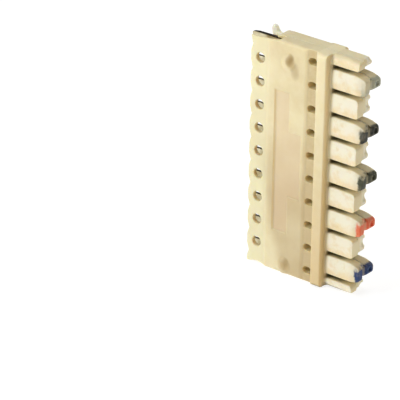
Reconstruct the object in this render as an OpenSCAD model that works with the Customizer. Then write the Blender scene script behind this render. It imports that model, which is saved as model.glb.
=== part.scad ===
// Punch-down connecting block, five pairs.
// Two moulded half shells trap a row of flat double-ended contact clips.
// The block stands on its short end: X runs from the latching skirt to the
// tooth tips, Y from the front face to the back face, Z along the row.

/* [Row] */
// Distance between neighbouring contacts
pitch = 3.81; // [3.75:0.01:4.2]
// Width of the wire slot between two teeth
slot_w = 0.58; // [0.4:0.02:0.7]

/* [Body] */
// Depth of the body from front panel to back panel
body_t = 4.9; // [4.6:0.1:6.5]
// Distance from the front panel to the plane where the shells meet
split_y = 2.2; // [2.0:0.1:2.4]
// Distance from the skirt edge to the body
body_u0 = 3.6; // [3.2:0.1:4.0]
// Distance from the skirt edge to the root of the wire slots
root_u = 14.65; // [14.4:0.05:15]
// Width of the long rib
rib_w = 2.05; // [1.5:0.05:2.3]
// Height of the long rib above its panel
rib_h = 0.45; // [0.3:0.05:0.8]

/* [Skirt] */
// Thickness of each skirt plate
plate_t = 0.95; // [0.7:0.05:1.2]
// Depth of the scallops along the skirt edge
scallop = 0.53; // [0.3:0.01:0.65]
// Distance from the skirt edge to the latch hole centres
latch_u = 2.0; // [1.7:0.05:2.3]
// Diameter of the latch holes
latch_d = 1.6; // [1.3:0.05:1.7]

/* [Teeth] */
// Distance from the skirt edge to the tips of the tall teeth
tall_u = 20.9; // [20.4:0.1:21.5]
// Distance from the skirt edge to the front tips of the short teeth
short_u = 19.6; // [19.2:0.1:19.8]
// How much shorter the back tips of the short teeth are
short_back = 0.4; // [0:0.1:0.8]
// How far the front tooth faces lie behind the front panel
tooth_in_f = 0.6; // [0.3:0.05:0.9]
// How far the back tooth faces lie inside the back panel
tooth_in_b = 0.4; // [0.2:0.05:0.7]
// Bulge of each tooth face across its width
pillow = 0.18; // [0.05:0.01:0.25]

/* [Test holes] */
// Distance from the skirt edge to the test hole centres
test_u = 11.6; // [11.5:0.05:11.65]
// Length of each test hole, along X
test_l = 1.6; // [1.3:0.05:1.7]
// Width of each test hole, along the row
test_w = 1.16; // [0.9:0.02:1.24]
// Depth of the sunk band that holds the test holes
band_in = 0.25; // [0.1:0.05:0.4]

/* [Clips] */
// Thickness of the clip metal
clip_t = 0.5; // [0.3:0.02:0.56]
// How far the clips stand out past the skirt edge
clip_out = 1.1; // [0.6:0.1:1.6]
// Width of the clip across the upper tines
clip_top_w = 2.5; // [2.2:0.1:2.7]
// Width of the clip across the lower tines
clip_low_w = 2.36; // [2.2:0.02:2.44]
// Width of the mouth between the lower tines
mouth_w = 0.9; // [0.6:0.05:1.1]
// Width of the slot between the lower tines
tine_gap = 0.36; // [0.3:0.02:0.44]
// Width of the wire slot in the metal
idc_w = 0.26; // [0.2:0.02:0.34]

/* [Hidden] */
// Number of contacts in the row; each clip has a node of its own below, so
// the count and the nodes change together
contacts = 10;

row_l = pitch * contacts;
half_tooth = (pitch - slot_w) / 2;
lobe_r = (pow(pitch / 2, 2) + scallop * scallop) / (2 * scallop);
clip_u1 = 18.0;
gap = 0.02;
pocket_t = clip_t + 2 * gap;
rib_u1 = root_u - 0.15;
boss_r = 1.35;
boss_h = 0.5;
pin_r = 0.5;
pin_u = 8.6;
ivory = [0.91, 0.84, 0.68];
brass = [0.72, 0.66, 0.52];

// Height of contact k above the standing end, counted from the top
function contact_z(k) = row_l - (k - 0.5) * pitch;
// Points of an arc, from angle a to angle b, in n steps
function arc(cx, cy, r, a, b, n) =
    [for (i = [0:n]) [cx + r * cos(a + (b - a) * i / n), cy + r * sin(a + (b - a) * i / n)]];

// Places children so that the row frame's origin is the middle of the
// standing end
module placed() {
    translate([-(tall_u - clip_out) / 2, -body_t / 2, 0]) children();
}

// Prism of an outline drawn in X and Z, between two depths
module slab(y0, y1) {
    translate([0, y1, 0]) rotate([90, 0, 0])
        linear_extrude(height = y1 - y0) children();
}

// Prism of a profile drawn in Y and Z, between two distances along X
module run(u0, u1) {
    translate([u0, 0, 0]) rotate([90, 0, 90])
        linear_extrude(height = u1 - u0) children();
}

// Outline of a full tooth, its middle at height zc, its sides curving in over
// the last taper millimetres with radius side_r
module tooth_outline(zc, tip, taper, side_r) {
    h = half_tooth;
    u0 = root_u - 0.4;
    uc = tip - taper;
    a1 = asin((taper - 0.32) / side_r);
    side = [for (i = [0:6]) [uc + side_r * sin(a1 * i / 6), h - side_r + side_r * cos(a1 * i / 6)]];
    e = side[6];
    nose = [[tip - 0.1, e[1] - 0.16], [tip, e[1] - 0.42]];
    half = concat([[u0, h]], side, nose);
    polygon(concat([for (p = half) [p[0], zc + p[1]]],
        [for (i = [len(half) - 1:-1:0]) [half[i][0], zc - half[i][1]]]));
}

// Outline of the half tooth at one end of the row, s = 1 at the foot; its
// outer side draws in towards the tip
module end_tooth_outline(s, tip) {
    h = half_tooth;
    z0 = s > 0 ? 0 : row_l;
    pts = concat([[root_u - 0.4, 0], [root_u + 0.6, 0], [tip - 0.5, 0.2]], arc(tip - 0.4, 0.6, 0.4, -90, 0, 4),
        arc(tip - 0.6, h - 0.6, 0.6, 0, 90, 6), [[root_u - 0.4, h]]);
    q = [for (p = pts) [p[0], z0 + s * p[1]]];
    polygon(s > 0 ? q : [for (i = [len(q) - 1:-1:0]) q[i]]);
}

// Every tooth of the row, seen from the front
module comb_outline(short_tip, tall_taper) {
    for (k = [1:contacts - 1])
        if (k % 2 == 1) tooth_outline(row_l - k * pitch, tall_u, tall_taper, 6.2);
        else tooth_outline(row_l - k * pitch, short_tip, 1.1, 2.2);
    end_tooth_outline(1, short_tip);
    end_tooth_outline(-1, short_tip);
}

// Tooth section seen from the tips, flat at y0 and bulged at y1, from height
// za to zb, its bulged side's corners rounded by ra and rb
module tooth_section(za, zb, y0, y1, ra, rb) {
    c = (za + zb) / 2;
    h = (zb - za) / 2;
    s = y1 > y0 ? 1 : -1;
    function dip(z) = pillow * pow((z - c) / h, 2);
    ca = [for (i = [0:5]) [y1 - s * (dip(za + ra) + ra - ra * sin(90 * i / 5)), za + ra - ra * cos(90 * i / 5)]];
    mid = [for (i = [1:6]) let (z = za + ra + (zb - rb - za - ra) * i / 7) [y1 - s * dip(z), z]];
    cb = [for (i = [0:5]) [y1 - s * (dip(zb - rb) + rb - rb * cos(90 * i / 5)), zb - rb + rb * sin(90 * i / 5)]];
    pts = concat([[y0, za]], ca, mid, cb, [[y0, zb]]);
    polygon(s > 0 ? pts : [for (i = [len(pts) - 1:-1:0]) pts[i]]);
}

// Teeth between the split plane y0 and their bulged faces at y1; r_tall,
// r_short and r_end round the long edges of the bulged faces
module teeth(y0, y1, short_tip, tall_taper, r_tall, r_short, r_end) {
    intersection() {
        run(root_u - 0.3, tall_u + 1) {
            for (k = [1:contacts - 1])
                let (r = k % 2 == 1 ? r_tall : r_short)
                tooth_section(row_l - k * pitch - half_tooth, row_l - k * pitch + half_tooth, y0, y1, r, r);
            tooth_section(0, half_tooth, y0, y1, r_end, r_short);
            tooth_section(row_l - half_tooth, row_l, y0, y1, r_short, r_end);
        }
        slab(min(y0, y1) - 1, max(y0, y1) + 1) comb_outline(short_tip, tall_taper);
    }
}

// Skirt plate outline with a lobe at each tooth, its crest at u = start
module skirt_outline(start) {
    difference() {
        intersection() {
            square([body_u0 + 0.4, row_l]);
            for (k = [0:contacts])
                translate([start + lobe_r, k * pitch]) circle(r = lobe_r, $fn = 96);
        }
        for (k = [1:contacts - 1])
            translate([latch_u, k * pitch]) circle(d = latch_d, $fn = 48);
    }
}

// Skirt plate whose outer face is at y = 0, thinning to its edge and standing
// out by flare there
module skirt_plate(start, flare) {
    intersection() {
        slab(-1, plate_t + 1) skirt_outline(start);
        translate([0, 0, -1]) linear_extrude(height = row_l + 2)
            polygon([[start - 0.1, 0.46 - flare], [start + 0.125, 0.34 - flare], [start + 0.505, 0.22 - flare],
                [start + 1.205, 0.16 - flare * 0.8], [body_u0 + 0.4, 0.14], [body_u0 + 0.4, plate_t],
                [start + 0.665, plate_t - flare], [start - 0.1, plate_t - 0.22 - flare]]);
    }
}

// Cuts that shape the front shell's ends beside the skirt, and the notches
// that bare the edges of the end clips
module front_end_cuts() {
    // foot end: a shallow hollow behind the skirt corner
    slab(-1, split_y + 1) polygon([[-1, -0.3], [-1, 0.03], [0.15, 0.05], [0.9, 0.2], [1.5, 0.36], [2.1, 0.45],
        [2.7, 0.42], [3.3, 0.28], [3.9, 0.1], [4.5, -0.1], [4.5, -0.3]]);
    run(-1, 5.3) polygon([[0.75, -0.5], [0.75, 0.2], [plate_t, 1.3], [split_y + 1, 1.5], [split_y + 1, -0.5]]);
    // top end: drawn in along the whole skirt
    translate([0, 0, row_l]) scale([1, 1, -1]) {
        slab(-1, split_y + 1) polygon([[-1, -0.2], [-1, 0.68], [0.3, 0.6], [1, 0.54], [2.7, 0.42], [4.1, 0.21],
            [4.9, 0.07], [6.1, -0.2]]);
        run(-1, 5.3) polygon([[0.45, -0.5], [0.45, 0.3], [plate_t, 1.3], [split_y + 1, 1.5], [split_y + 1, -0.5]]);
    }
}

// Cuts that leave a small ear at each end of the back skirt plate
module back_end_cuts() {
    for (s = [0, 1])
        translate([0, 0, s * row_l]) scale([1, 1, s == 0 ? 1 : -1])
            slab(-1, body_t - split_y + 1) polygon([[-0.5, -0.2], [-0.5, 1.1], [0.6, 0.9], [0.85, 0.5], [0.95, 0.2],
                [1.1, 0.06], [1.45, 0.05], [1.65, 0.16], [1.85, 0.5], [2.15, 0.9], [2.5, 1.12], [2.9, 1.08],
                [3.2, 0.8], [3.5, 0.5], [3.9, 0.3], [4.6, 0.15], [5.6, 0.02], [6.2, -0.2]]);
}

// Recess with sloped sides, from u0 to u1 and z0 to z1 at its floor
module recess(u0, u1, z0, z1, depth) {
    w = 0.26;
    o = w * (1 + 0.5 / depth);
    intersection() {
        translate([0, 0, z0 - o]) linear_extrude(height = z1 - z0 + 2 * o)
            polygon([[u0 - o, -0.5], [u1 + o, -0.5], [u1, depth], [u0, depth]]);
        run(u0 - o, u1 + o)
            polygon([[-0.5, z0 - o], [depth, z0], [depth, z1], [-0.5, z1 + o]]);
    }
}

// Shallow stepped field on the body panel, left bare
module label_field(depth) {
    recess(5.1, 7.5, 7.0, 30.0, depth);
    recess(7.4, 9.75, 13.2, 23.7, depth);
}

// Prism of a body profile along the row, its ends rounded at the outer face
module rounded_run(y_out, y_in, r) {
    intersection() {
        linear_extrude(height = row_l) children();
        run(0, tall_u) polygon(concat([[y_in, row_l]],
            arc(y_out + r, row_l - r, r, 90, 180, 6), arc(y_out + r, r, r, 180, 270, 6), [[y_in, 0]]));
    }
}

// One moulded body block: panel, rib and the strip that the slots end in
module body_block(y_in, rib_start, tooth_in, band, r_end) {
    union() {
        rounded_run(0, y_in, r_end)
            polygon([[body_u0 - 0.3, 0.16], [body_u0 + 0.25, 0], [10.35, 0], [10.85, band], [rib_start + 0.15, band],
                [rib_start + 0.3, y_in], [body_u0, y_in], [body_u0, 0.5], [body_u0 - 0.3, 0.5]]);
        rounded_run(-rib_h, y_in, r_end + 0.2)
            polygon([[rib_start - 0.1, band + 0.05], [rib_start + 0.25, -rib_h + 0.1], [rib_start + 0.4, -rib_h],
                [rib_u1 - 0.22, -rib_h], [rib_u1, -rib_h + 0.2], [rib_u1, tooth_in + 0.2],
                [rib_u1, y_in], [rib_start - 0.1, y_in]]);
        rounded_run(tooth_in + 0.3, y_in, r_end - 0.1)
            polygon([[rib_u1 - 0.2, tooth_in + 0.3], [root_u, tooth_in + 0.3], [root_u, y_in], [rib_u1 - 0.2, y_in]]);
    }
}

// Low cone on a panel at y = 0
module boss(u, z) {
    translate([u, 0.1, z]) rotate([90, 0, 0])
        cylinder(r1 = boss_r + 0.15, r2 = boss_r - 0.75, h = boss_h + 0.1, $fn = 48);
}

module front_shell() {
    color(ivory) placed() {
        difference() {
            union() {
                body_block(split_y, rib_u1 - rib_w, tooth_in_f, band_in, 0.5);
                skirt_plate(0, 0);
                teeth(split_y, tooth_in_f, short_u, 2.5, 0.35, 0.35, 1.15);
                for (z = [1.5, row_l - 3.2])
                    boss(7.25, z);
            }
            front_end_cuts();
            // oval test holes down to the clips
            for (k = [1:contacts])
                slab(-1, split_y + 1) translate([test_u, contact_z(k)]) {
                    for (s = [-1, 1])
                        translate([s * (test_l - test_w) / 2, 0]) circle(d = test_w, $fn = 48);
                    square([test_l - test_w, test_w], center = true);
                }
            label_field(0.28);
            // groove that parts the tips of the tall teeth into two lobes
            slab(split_y - 0.45, split_y + 1) translate([tall_u - 0.35, 0]) square([2, row_l]);
        }
        // locating pins between the clips
        for (k = [1:2:contacts - 1])
            translate([pin_u, split_y + 1.0, k * pitch]) rotate([90, 0, 0])
                cylinder(r = pin_r, h = 1.3, $fn = 36);
    }
}

// Outline of one clip, its middle at height zc, grown by g
module clip_outline(zc, g) {
    w1 = clip_low_w / 2 + g;
    w2 = clip_top_w / 2 + g;
    low = -clip_out - g;
    half = [[low, w1 - 0.34], [low + 0.3, w1 - 0.22], [0.0, w1 - 0.1], [4.4, w1], [5.8 - g, w1], [6.5 - g, w2 - 0.1],
        [7.6, w2 - 0.1], [7.95, w2 - 0.45], [9.35, w2 - 0.45], [9.7, w2 - 0.1], [12.4, w2],
        [clip_u1 - 0.6, w2], [clip_u1 + g, w2 - 0.45]];
    translate([0, zc]) polygon(concat([for (p = half) [p[0], -p[1]]],
        [for (i = [len(half) - 1:-1:0]) half[i]]));
}

// One flat stamped clip with a wire slot at each end
module clip(k) {
    s = idc_w / 2;
    f = mouth_w / 2;
    t = tine_gap / 2;
    y0 = split_y + gap;
    zc = contact_z(k);
    color(brass) placed() difference() {
        slab(y0, y0 + clip_t) clip_outline(zc, 0);
        slab(y0 - 1, y0 + clip_t + 1) translate([0, zc]) {
            polygon([[-clip_out - 1, -f - 0.2], [-clip_out, -f], [-clip_out + 0.8, -t], [3.4, -t],
                [3.4, t], [-clip_out + 0.8, t], [-clip_out, f], [-clip_out - 1, f + 0.2]]);
            polygon([[clip_u1 + 1, 0.9], [clip_u1, 0.62], [clip_u1 - 1.1, s], [13.9, s],
                [13.9, -s], [clip_u1 - 1.1, -s], [clip_u1, -0.62], [clip_u1 + 1, -0.9]]);
            translate([3.4, 0]) circle(r = 0.3, $fn = 32);
            translate([13.9, 0]) circle(r = 0.32, $fn = 32);
        }
    }
}

module back_shell() {
    color(ivory) placed() difference() {
        union() {
            translate([0, body_t, 0]) mirror([0, 1, 0])
                body_block(body_t - split_y, rib_u1 - rib_w - 0.35, tooth_in_b, 0.1, 0.95);
            translate([0, body_t, 0]) mirror([0, 1, 0]) skirt_plate(0.7, 0.3);
            teeth(split_y, body_t - tooth_in_b, short_u - short_back, 3.4, 0.9, 0.6, 0.95);
            translate([0, body_t, 0]) mirror([0, 1, 0])
                for (z = [1.6, row_l - 3.1]) boss(8.85, z);
        }
        // pockets for the clips, open through the tooth tips
        for (k = [1:contacts]) {
            slab(split_y - 1, split_y + pocket_t) clip_outline(contact_z(k), gap);
            slab(split_y - 1, split_y + pocket_t) translate([12.4, contact_z(k) - clip_top_w / 2 - gap])
                square([10, clip_top_w + 2 * gap]);
        }
        // sockets for the locating pins
        for (k = [1:2:contacts - 1])
            translate([pin_u, split_y + 1.15, k * pitch]) rotate([90, 0, 0])
                cylinder(r = pin_r + 0.03, h = 2, $fn = 36);
        // shallow hollow in the back tip of each short tooth
        for (k = [0:2:contacts])
            translate([short_u - short_back + 0.4, split_y + 1.3,
                row_l - k * pitch + (k == 0 ? -0.2 : k == contacts ? 0.2 : 0)]) rotate([-90, 0, 0])
                cylinder(r = 0.8, h = 4, $fn = 36);
        // groove that parts the tips of the tall teeth, and a dimple in each
        // back lobe
        slab(split_y - 1, split_y + 0.6) translate([tall_u - 0.35, 0]) square([2, row_l]);
        for (k = [1:2:contacts - 1])
            translate([tall_u - 0.4, split_y + 1.45, row_l - k * pitch]) rotate([0, 90, 0])
                cylinder(r = 0.42, h = 2, $fn = 36);
        translate([0, body_t, 0]) mirror([0, 1, 0]) label_field(0.28);
        translate([0, body_t, 0]) mirror([0, 1, 0]) back_end_cuts();
    }
}

module contact_clip_01() { clip(1); }
module contact_clip_02() { clip(2); }
module contact_clip_03() { clip(3); }
module contact_clip_04() { clip(4); }
module contact_clip_05() { clip(5); }
module contact_clip_06() { clip(6); }
module contact_clip_07() { clip(7); }
module contact_clip_08() { clip(8); }
module contact_clip_09() { clip(9); }
module contact_clip_10() { clip(10); }

front_shell();
back_shell();
contact_clip_01();
contact_clip_02();
contact_clip_03();
contact_clip_04();
contact_clip_05();
contact_clip_06();
contact_clip_07();
contact_clip_08();
contact_clip_09();
contact_clip_10();
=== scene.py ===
import math
import bmesh
import bpy
import numpy as np
from mathutils import Matrix, Vector
from mathutils.bvhtree import BVHTree


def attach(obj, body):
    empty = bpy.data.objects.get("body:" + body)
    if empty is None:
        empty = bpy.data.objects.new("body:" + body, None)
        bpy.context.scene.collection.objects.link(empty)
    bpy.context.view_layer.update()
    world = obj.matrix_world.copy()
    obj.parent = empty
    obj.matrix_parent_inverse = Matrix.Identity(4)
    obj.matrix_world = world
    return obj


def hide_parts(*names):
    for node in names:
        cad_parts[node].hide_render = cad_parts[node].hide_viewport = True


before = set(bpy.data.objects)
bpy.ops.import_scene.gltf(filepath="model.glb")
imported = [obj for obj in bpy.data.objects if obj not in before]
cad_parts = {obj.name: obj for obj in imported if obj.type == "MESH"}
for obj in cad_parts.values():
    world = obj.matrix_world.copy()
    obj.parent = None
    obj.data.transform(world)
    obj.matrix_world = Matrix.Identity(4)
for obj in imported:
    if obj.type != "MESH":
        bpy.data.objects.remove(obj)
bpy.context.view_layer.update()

MM = 0.001
PITCH = 3.81 * MM
ROW = PITCH * 10
X0 = -9.9 * MM           # where the skirt crest lies in the frame
SPLIT = -0.25 * MM       # the plane where the two shells meet
scene = bpy.context.scene


# ---------------------------------------------------------------- meshes

def plain_copy(node, name):
    """The CAD node's mesh as a new object, its split vertices joined."""
    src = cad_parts[node]
    me = src.data.copy()
    me.name = name
    ob = bpy.data.objects.new(name, me)
    scene.collection.objects.link(ob)
    me.materials.clear()
    bm = bmesh.new()
    bm.from_mesh(me)
    bmesh.ops.remove_doubles(bm, verts=bm.verts, dist=2e-7)
    bmesh.ops.recalc_face_normals(bm, faces=bm.faces)
    bm.to_mesh(me)
    bm.free()
    if me.has_custom_normals:
        bpy.context.view_layer.objects.active = ob
        with bpy.context.temp_override(object=ob, active_object=ob, selected_objects=[ob]):
            bpy.ops.mesh.customdata_custom_splitnormals_clear()
    return ob


def apply_mods(ob):
    deps = bpy.context.evaluated_depsgraph_get()
    me = bpy.data.meshes.new_from_object(ob.evaluated_get(deps))
    old = ob.data
    ob.modifiers.clear()
    ob.data = me
    me.name = ob.name
    bpy.data.meshes.remove(old)
    return ob


def moulded(node, name, voxel, faces):
    """A shell as it comes out of the mould: every edge slightly rounded."""
    ob = plain_copy(node, name)
    bm = bmesh.new()
    bm.from_mesh(ob.data)
    tree = BVHTree.FromBMesh(bm)
    bm.free()
    m = ob.modifiers.new("melt", "REMESH")
    m.mode = "VOXEL"
    m.voxel_size = voxel
    m.adaptivity = 0.0
    apply_mods(ob)
    m = ob.modifiers.new("even", "SMOOTH")
    m.factor = 0.5
    m.iterations = 2
    apply_mods(ob)
    # the seam between the shells stays crisp
    for v in ob.data.vertices:
        if abs(v.co.y - SPLIT) < 0.3 * MM:
            v.co = tree.find_nearest(v.co)[0]
    n = len(ob.data.polygons) * 2
    if n > faces:
        m = ob.modifiers.new("lean", "DECIMATE")
        m.ratio = faces / n
        apply_mods(ob)
    ob.data.shade_smooth()
    return ob


def stamped(node, name):
    """A clip as it comes off the press: flat faces, a fine rolled edge."""
    ob = plain_copy(node, name)
    bm = bmesh.new()
    bm.from_mesh(ob.data)
    bmesh.ops.dissolve_limit(bm, angle_limit=math.radians(2), verts=bm.verts, edges=bm.edges)
    rim = [e for e in bm.edges if len(e.link_faces) == 2
           and max(abs(f.normal.y) for f in e.link_faces) > 0.9
           and min(abs(f.normal.y) for f in e.link_faces) < 0.3]
    bmesh.ops.bevel(bm, geom=rim, offset=0.03 * MM, segments=2, profile=0.5, affect="EDGES", clamp_overlap=True)
    bmesh.ops.triangulate(bm, faces=bm.faces)
    bm.to_mesh(ob.data)
    bm.free()
    ob.data.shade_flat()
    return ob


# ---------------------------------------------------------------- materials

class Graph:
    def __init__(self, name):
        self.mat = bpy.data.materials.new(name)
        self.mat.use_nodes = True
        self.t = self.mat.node_tree
        self.bsdf = self.t.nodes["Principled BSDF"]
        self.out = self.t.nodes["Material Output"]

    def node(self, kind, **props):
        n = self.t.nodes.new(kind)
        for k, v in props.items():
            setattr(n, k, v)
        return n

    def link(self, a, b):
        self.t.links.new(a, b)

    def put(self, sock, v):
        if isinstance(v, bpy.types.NodeSocket):
            self.link(v, sock)
        else:
            sock.default_value = v

    def math(self, op, a, b=0.0, c=None, clamp=False):
        n = self.node("ShaderNodeMath", operation=op, use_clamp=clamp)
        self.put(n.inputs[0], a)
        self.put(n.inputs[1], b)
        if c is not None:
            self.put(n.inputs[2], c)
        return n.outputs[0]

    def remap(self, v, a, b, lo=0.0, hi=1.0, kind="SMOOTHSTEP"):
        n = self.node("ShaderNodeMapRange", interpolation_type=kind)
        self.put(n.inputs["Value"], v)
        n.inputs["From Min"].default_value = a
        n.inputs["From Max"].default_value = b
        n.inputs["To Min"].default_value = lo
        n.inputs["To Max"].default_value = hi
        return n.outputs["Result"]

    def mix(self, f, a, b, mode="MIX"):
        n = self.node("ShaderNodeMix", data_type="RGBA", blend_type=mode)
        self.put(n.inputs[0], f)
        self.put(n.inputs[6], a)
        self.put(n.inputs[7], b)
        return n.outputs[2]

    def noise(self, vec, scale, detail=3.0, rough=0.5):
        n = self.node("ShaderNodeTexNoise")
        self.link(vec, n.inputs["Vector"])
        n.inputs["Scale"].default_value = scale
        n.inputs["Detail"].default_value = detail
        n.inputs["Roughness"].default_value = rough
        return n.outputs["Fac"]


def srgb(r, g, b):
    f = lambda c: c / 12.92 if c <= 0.04045 else ((c + 0.055) / 1.055) ** 2.4
    return (f(r / 255), f(g / 255), f(b / 255), 1.0)


def ping_z(g, z):
    """0.5 to 1 along a tall tooth, 0 to 0.5 along a short one."""
    return g.math("PINGPONG", g.math("DIVIDE", z, PITCH), 1.0)


def ivory():
    g = Graph("ivory_moulded_plastic")
    tc = g.node("ShaderNodeTexCoord").outputs["Object"]
    geo = g.node("ShaderNodeNewGeometry")
    sep = g.node("ShaderNodeSeparateXYZ")
    g.link(tc, sep.inputs[0])
    x, y, z = sep.outputs
    ns = g.node("ShaderNodeSeparateXYZ")
    g.link(geo.outputs["Normal"], ns.inputs[0])

    # mould flow: broad, faint drift of the ivory, warmer towards the foot
    broad = g.noise(tc, 160.0, 3.0, 0.55)
    mott = g.noise(tc, 900.0, 4.0, 0.6)
    fine = g.noise(tc, 9000.0, 2.0, 0.5)
    cream = srgb(238, 226, 186)
    warm = srgb(226, 210, 166)
    col = g.mix(g.remap(broad, 0.3, 0.7), cream, warm)
    col = g.mix(g.remap(mott, 0.35, 0.75, 0.0, 0.22), col, srgb(244, 234, 206))
    faces_y = g.remap(g.math("ABSOLUTE", ns.outputs[1]), 0.55, 0.85)
    # the teeth are a little whiter where the tool polishes them
    tooth = g.math("MULTIPLY", g.remap(x, X0 + 14.6 * MM, X0 + 15.4 * MM), faces_y)
    col = g.mix(g.math("MULTIPLY", tooth, 0.85), col, srgb(249, 243, 223))
    # painted shade: each tooth face is painted yellower towards its lower edge, where the pillowed face turns from the
    # light
    low = g.math("FRACT", g.math("MULTIPLY_ADD", z, 1 / PITCH, 0.5))
    low = g.math("ADD", low, g.math("MULTIPLY", g.math("SUBTRACT", mott, 0.5), 0.9))
    low = g.math("MULTIPLY", g.remap(low, 0.12, 0.62, 0.62, 0.0), tooth)
    col = g.mix(low, col, srgb(240, 214, 158))
    spots = g.math("MULTIPLY", g.remap(g.noise(tc, 820.0, 2.5, 0.5), 0.5, 0.72, 0.0, 0.42), tooth)
    col = g.mix(spots, col, srgb(230, 206, 152))
    # the sunk band with the test holes is painted darker
    band = g.math("MULTIPLY", g.remap(x, X0 + 10.5 * MM, X0 + 10.95 * MM), g.remap(x, X0 + 12.45 * MM, X0 + 12.75 * MM, 1.0, 0.0))
    band = g.math("MULTIPLY", g.math("MULTIPLY", band, g.remap(mott, 0.3, 0.7, 0.6, 0.95)), faces_y)
    col = g.mix(band, col, srgb(204, 184, 138))
    # a darker tan patch on the lower half of the panel
    zone = g.math("MULTIPLY", g.remap(g.math("MULTIPLY_ADD", z, 0.28, x), X0 + 5.8 * MM, X0 + 8.2 * MM), g.remap(z, 12.0 * MM, 25.0 * MM, 1.0, 0.0))
    zone = g.math("MULTIPLY", zone, g.remap(x, X0 + 12.6 * MM, X0 + 12.9 * MM, 1.0, 0.0))
    zone = g.math("MULTIPLY", g.math("MULTIPLY", zone, faces_y), g.remap(broad, 0.2, 0.6, 0.55, 0.85))
    col = g.mix(zone, col, srgb(204, 183, 140))
    # the thin skirt is a shade greener and paler than the thick body
    thin = g.math("MULTIPLY", g.remap(x, X0 + 2.6 * MM, X0 + 4.6 * MM, 0.55, 0.0), faces_y)
    col = g.mix(thin, col, srgb(238, 234, 196))
    # the long rib goes from pale at its top to tan at its foot
    rib = g.math("MULTIPLY", g.remap(x, X0 + 12.4 * MM, X0 + 12.6 * MM), g.remap(x, X0 + 14.6 * MM, X0 + 14.9 * MM, 1.0, 0.0))
    col = g.mix(g.math("MULTIPLY", rib, g.remap(z, 24.0 * MM, 36.0 * MM, 0.0, 0.5)), col, srgb(250, 238, 200))
    col = g.mix(g.math("MULTIPLY", rib, g.remap(z, 4.0 * MM, 24.0 * MM, 0.62, 0.0)), col, srgb(224, 196, 144))
    # painted shade: the rib's right flank, turned from the key light, is painted darker brown towards its foot
    rib_flank_shade = g.math("MULTIPLY", g.math("COMPARE", x, X0 + 14.55 * MM, 0.3 * MM), g.remap(ns.outputs[0], 0.4, 0.8))
    col = g.mix(g.math("MULTIPLY", rib_flank_shade, g.remap(z, 6.0 * MM, 30.0 * MM, 0.55, 0.0)), col, srgb(186, 152, 96))
    # the bare label field is a little rosier
    f1 = g.math("MULTIPLY", g.math("COMPARE", x, X0 + 6.3 * MM, 1.2 * MM), g.math("COMPARE", z, 18.5 * MM, 11.5 * MM))
    f2 = g.math("MULTIPLY", g.math("COMPARE", x, X0 + 8.6 * MM, 1.15 * MM), g.math("COMPARE", z, 18.45 * MM, 5.25 * MM))
    col = g.mix(g.math("MULTIPLY", g.math("MAXIMUM", f1, f2), 0.42), col, srgb(226, 200, 166))
    # painted shade on the right flanks of the two low bosses, with a painted shadow trailing below the upper one
    for bx, bz, rx, rz, amount in ((7.7, 35.5, 0.6, 0.95, 0.85), (8.55, 33.9, 0.7, 1.3, 0.42),
                                   (7.75, 1.9, 0.6, 0.9, 0.42)):
        dx = g.math("DIVIDE", g.math("SUBTRACT", x, X0 + bx * MM), rx * MM)
        dx = g.math("ADD", dx, g.math("MULTIPLY", g.math("SUBTRACT", mott, 0.5), 0.9))
        dz = g.math("DIVIDE", g.math("SUBTRACT", z, bz * MM), rz * MM)
        d2 = g.math("ADD", g.math("MULTIPLY", dx, dx), g.math("MULTIPLY", dz, dz))
        boss_shade = g.math("MULTIPLY", g.math("MULTIPLY", g.remap(d2, 0.05, 1.7, amount, 0.0), g.remap(ns.outputs[1], 0.0, -0.3)), g.remap(y, -1.6 * MM, -1.9 * MM))
        col = g.mix(boss_shade, col, srgb(168, 140, 84))
    # painted shade: sides that face the tooth tips, turned from the key light, are painted tan, less so on the tooth
    # ends
    tipward_shade = g.math("MULTIPLY", g.remap(ns.outputs[0], 0.35, 0.8, 0.0, 0.6), g.remap(x, X0 + 15.0 * MM, X0 + 17.0 * MM, 1.0, 0.25))
    col = g.mix(tipward_shade, col, srgb(224, 194, 134))
    # painted light: the ears and the back horns are painted paler, standing in for light let through their thin ends
    rear = g.remap(y, SPLIT + 0.6 * MM, SPLIT + 1.2 * MM)
    horn = g.math("MULTIPLY", rear, g.remap(x, X0 + 17.6 * MM, X0 + 18.8 * MM))
    horn = g.math("MULTIPLY", horn, g.remap(ping_z(g, z), 0.46, 0.5, 1.0, 0.0))
    ends = g.remap(g.math("ABSOLUTE", g.math("SUBTRACT", z, ROW / 2)), 17.2 * MM, 17.9 * MM)
    ear = g.math("MULTIPLY", g.math("MULTIPLY", rear, ends), g.remap(x, X0 + 2.8 * MM, X0 + 3.8 * MM, 1.0, 0.0))
    pale = g.math("MAXIMUM", g.math("MULTIPLY", horn, 0.4), ear)
    col = g.mix(g.math("MULTIPLY", horn, 0.5), col, srgb(240, 236, 216))
    col = g.mix(g.math("MULTIPLY", ear, 0.9), col, srgb(254, 250, 230))
    # painted shade from ambient occlusion in slots, holes and inner corners
    ao = g.node("ShaderNodeAmbientOcclusion", samples=8)
    ao.inputs["Distance"].default_value = 1.1 * MM
    occluded = g.remap(ao.outputs["AO"], 0.2, 0.85, 1.0, 0.0)
    where = g.remap(x, X0 + 10.2 * MM, X0 + 11.0 * MM, 0.05, 0.9)
    where = g.math("MULTIPLY", where, g.remap(x, X0 + 12.5 * MM, X0 + 13.2 * MM, 0.15, 1.0))
    where = g.math("MULTIPLY", where, g.remap(x, X0 + 16.8 * MM, X0 + 18.4 * MM, 1.0, 0.3))
    occlusion_shade = g.math("MULTIPLY", g.math("MULTIPLY", occluded, where), g.remap(pale, 0.0, 1.0, 1.0, 0.2))
    col = g.mix(occlusion_shade, col, srgb(102, 92, 50))

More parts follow.
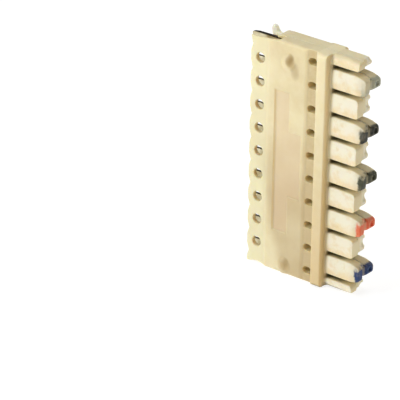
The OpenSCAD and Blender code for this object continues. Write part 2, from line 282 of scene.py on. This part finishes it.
    # ink on the tips of the tall teeth, one colour for each pair
    near = g.remap(ping_z(g, z), 0.46, 0.5, kind="LINEAR")
    ramp = g.node("ShaderNodeValToRGB")
    ramp.color_ramp.interpolation = "CONSTANT"
    g.link(g.math("DIVIDE", z, ROW), ramp.inputs[0])
    inks = [(0.0, srgb(14, 50, 104)), (0.2, srgb(228, 108, 66)), (0.4, srgb(62, 64, 42)),
            (0.6, srgb(32, 34, 20)), (0.8, srgb(158, 162, 146))]
    els = ramp.color_ramp.elements
    els[0].position, els[0].color = inks[0]
    els[1].position, els[1].color = inks[1]
    for p, c in inks[2:]:
        e = els.new(p)
        e.color = c
    wav = g.noise(tc, 1400.0, 3.0, 0.6)
    front = g.remap(g.math("ABSOLUTE", ns.outputs[1]), 0.5, 0.95, 0.0, 0.35 * MM)
    edge = g.math("ADD", g.math("MULTIPLY_ADD", g.math("SUBTRACT", wav, 0.5), 0.9 * MM, x), g.math("MULTIPLY", front, -1.0))
    edge = g.math("SUBTRACT", edge, g.remap(ns.outputs[2], 0.5, 0.9, 0.0, 0.5 * MM))
    ink = g.remap(edge, X0 + 19.6 * MM, X0 + 20.0 * MM)
    ink = g.math("MULTIPLY", ink, near)
    worn = g.remap(g.noise(tc, 1500.0, 2.0, 0.5), 0.3, 0.6, 0.88, 1.0)
    ink = g.math("MULTIPLY", ink, worn)
    # the groove between the two lobes took less ink, and on the first tall
    # tooth the front lobe was hardly touched
    groove = g.math("COMPARE", y, SPLIT + 0.1 * MM, 0.38 * MM)
    ink = g.math("MULTIPLY", ink, g.math("MULTIPLY_ADD", groove, -0.3, 1.0))
    # the pad missed the upper edge of each front lobe
    up = g.math("SUBTRACT", g.math("MODULO", z, 2 * PITCH), PITCH)
    missed = g.math("MULTIPLY", g.remap(g.math("MULTIPLY_ADD", g.math("SUBTRACT", wav, 0.5), 1.6 * MM, up), 0.55 * MM, 1.25 * MM), g.remap(y, SPLIT - 0.7 * MM, SPLIT - 0.2 * MM, 0.85, 0.0))
    ink = g.math("MULTIPLY", ink, g.math("SUBTRACT", 1.0, missed))
    first = g.math("MULTIPLY", g.remap(z, 32.0 * MM, 32.1 * MM), g.remap(y, SPLIT - 0.5 * MM, SPLIT + 0.9 * MM, 0.75, 0.1))
    first = g.math("MULTIPLY", first, g.remap(z, 33.2 * MM, 34.6 * MM, 0.3, 1.0))
    ink = g.math("MULTIPLY", ink, g.math("SUBTRACT", 1.0, first))
    # the plastic is painted a little duller further down the sides of the tall teeth
    halo = g.math("MULTIPLY", g.remap(edge, X0 + 18.4 * MM, X0 + 20.0 * MM), g.math("MULTIPLY", near, 0.24))
    col = g.mix(halo, col, srgb(166, 152, 110))
    col = g.mix(ink, col, ramp.outputs[0])
    g.link(col, g.bsdf.inputs["Base Color"])

    rough = g.math("MULTIPLY_ADD", mott, 0.18, 0.36)
    rough = g.math("ADD", rough, g.math("MULTIPLY", ink, 0.12))
    g.link(rough, g.bsdf.inputs["Roughness"])
    g.bsdf.inputs["IOR"].default_value = 1.53
    g.bsdf.inputs["Specular IOR Level"].default_value = 0.42
    g.bsdf.inputs["Subsurface Weight"].default_value = 0.45
    g.bsdf.inputs["Subsurface Radius"].default_value = (0.8, 0.65, 0.35)
    g.bsdf.inputs["Subsurface Scale"].default_value = 0.9 * MM
    b = g.node("ShaderNodeBump")
    b.inputs["Strength"].default_value = 0.28
    b.inputs["Distance"].default_value = 0.03 * MM
    g.link(g.math("ADD", fine, g.math("MULTIPLY", mott, 1.5)), b.inputs["Height"])
    g.link(b.outputs[0], g.bsdf.inputs["Normal"])
    return g.mat


def tinned():
    g = Graph("tinned_spring_bronze")
    tc = g.node("ShaderNodeTexCoord").outputs["Object"]
    mp = g.node("ShaderNodeMapping")
    mp.inputs["Scale"].default_value = (0.06, 1.0, 1.0)
    g.link(tc, mp.inputs["Vector"])
    grain = g.noise(mp.outputs[0], 26000.0, 3.0, 0.6)
    stain = g.noise(tc, 700.0, 4.0, 0.6)
    col = g.mix(g.remap(stain, 0.35, 0.7), srgb(216, 208, 178), srgb(178, 164, 124))
    # the sheared edges show the dull bare bronze, painted darker still as a painted reflection of the dark surroundings
    geo = g.node("ShaderNodeNewGeometry")
    ns = g.node("ShaderNodeSeparateXYZ")
    g.link(geo.outputs["Normal"], ns.inputs[0])
    flat = g.remap(g.math("ABSOLUTE", ns.outputs[1]), 0.45, 0.8)
    col = g.mix(flat, srgb(104, 94, 66), col)
    # the bare flank of the top end clip is coloured near black
    g_sep = g.node("ShaderNodeSeparateXYZ")
    g.link(tc, g_sep.inputs[0])
    bare = g.remap(g_sep.outputs[2], 37.08 * MM, 37.24 * MM)
    col = g.mix(bare, col, srgb(48, 44, 34))
    g.link(col, g.bsdf.inputs["Base Color"])
    g.bsdf.inputs["Metallic"].default_value = 1.0
    g.link(g.math("MULTIPLY_ADD", grain, 0.25, 0.26), g.bsdf.inputs["Roughness"])
    b = g.node("ShaderNodeBump")
    b.inputs["Strength"].default_value = 0.2
    b.inputs["Distance"].default_value = 0.01 * MM
    g.link(grain, b.inputs["Height"])
    g.link(b.outputs[0], g.bsdf.inputs["Normal"])
    return g.mat


plastic = ivory()
metal = tinned()

for node, name in (("front_shell", "front_shell_moulding"), ("back_shell", "back_shell_moulding")):
    ob = moulded(node, name, 0.11 * MM, 190000)
    ob.data.materials.append(plastic)
    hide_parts(node)
    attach(ob, "root")

for k in range(1, 11):
    node = f"contact_clip_{k:02d}"
    ob = stamped(node, f"clip_stamping_{k:02d}")
    ob.data.materials.append(metal)
    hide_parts(node)
    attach(ob, "root")


# ---------------------------------------------------------------- stage

def floor_material():
    g = Graph("pale_floor")
    tc = g.node("ShaderNodeTexCoord").outputs["Object"]
    n = g.noise(tc, 60.0, 2.0, 0.5)
    g.link(g.mix(g.remap(n, 0.3, 0.7, 0.0, 0.3), (0.36, 0.36, 0.36, 1), (0.33, 0.33, 0.33, 1)), g.bsdf.inputs["Base Color"])
    g.bsdf.inputs["Roughness"].default_value = 0.9
    g.bsdf.inputs["Specular IOR Level"].default_value = 0.0
    g.bsdf.inputs["Emission Color"].default_value = (1.0, 1.0, 1.0, 1.0)
    g.bsdf.inputs["Emission Strength"].default_value = 0.79
    return g.mat


me = bpy.data.meshes.new("floor")
s = 3.0
me.from_pydata([(-s, -s, 0), (s, -s, 0), (s, s, 0), (-s, s, 0)], [], [(0, 1, 2, 3)])
floor = bpy.data.objects.new("floor", me)
scene.collection.objects.link(floor)
me.materials.append(floor_material())

world = bpy.data.worlds.new("studio")
scene.world = world
world.use_nodes = True
world.node_tree.nodes["Background"].inputs[0].default_value = (1.0, 0.985, 0.955, 1.0)
world.node_tree.nodes["Background"].inputs[1].default_value = 0.15


def area(name, pos, target, size, watts, color=(1, 1, 1)):
    li = bpy.data.lights.new(name, "AREA")
    li.shape = "DISK"
    li.size = size
    li.energy = watts
    li.color = color
    ob = bpy.data.objects.new(name, li)
    scene.collection.objects.link(ob)
    ob.location = pos
    d = Vector(target) - Vector(pos)
    ob.rotation_euler = d.to_track_quat("-Z", "Y").to_euler()
    return ob


mid = (0.0, 0.0, 0.022)
area("key", (-0.09, -0.16, 0.125), mid, 0.09, 0.225, (1.0, 0.985, 0.94))
area("top", (-0.12, 0.05, 0.50), mid, 0.4, 1.02, (0.98, 0.99, 1.0))
area("side", (0.30, -0.12, 0.16), mid, 0.25, 0.11, (1.0, 0.99, 0.96))

area("rear", (0.02, 0.37, 0.11), mid, 0.3, 0.5, (1.0, 0.985, 0.95))

# ---------------------------------------------------------------- camera

right = Vector((0.7824, 0.6226, 0.0127)).normalized()
up = Vector((-0.2817, 0.3357, 0.8989))
fwd = Vector((-0.5554, 0.7069, -0.4381)).normalized()
up = (up - up.dot(fwd) * fwd).normalized()
right = fwd.cross(up).normalized()
pos = Vector((249.5653, -344.0223, 219.1058)) * MM
cam_data = bpy.data.cameras.new("camera")
cam_data.sensor_width = 36.0
cam_data.lens = 3135.93 / 400 * 36
cam_data.clip_start = 0.01
cam_data.clip_end = 50
cam = bpy.data.objects.new("camera", cam_data)
scene.collection.objects.link(cam)
cam.matrix_world = Matrix(((right.x, up.x, -fwd.x, pos.x), (right.y, up.y, -fwd.y, pos.y),
                           (right.z, up.z, -fwd.z, pos.z), (0, 0, 0, 1)))
scene.camera = cam
scene.view_settings.view_transform = "Standard"
scene.view_settings.look = "None"
scene.view_settings.exposure = 0.0
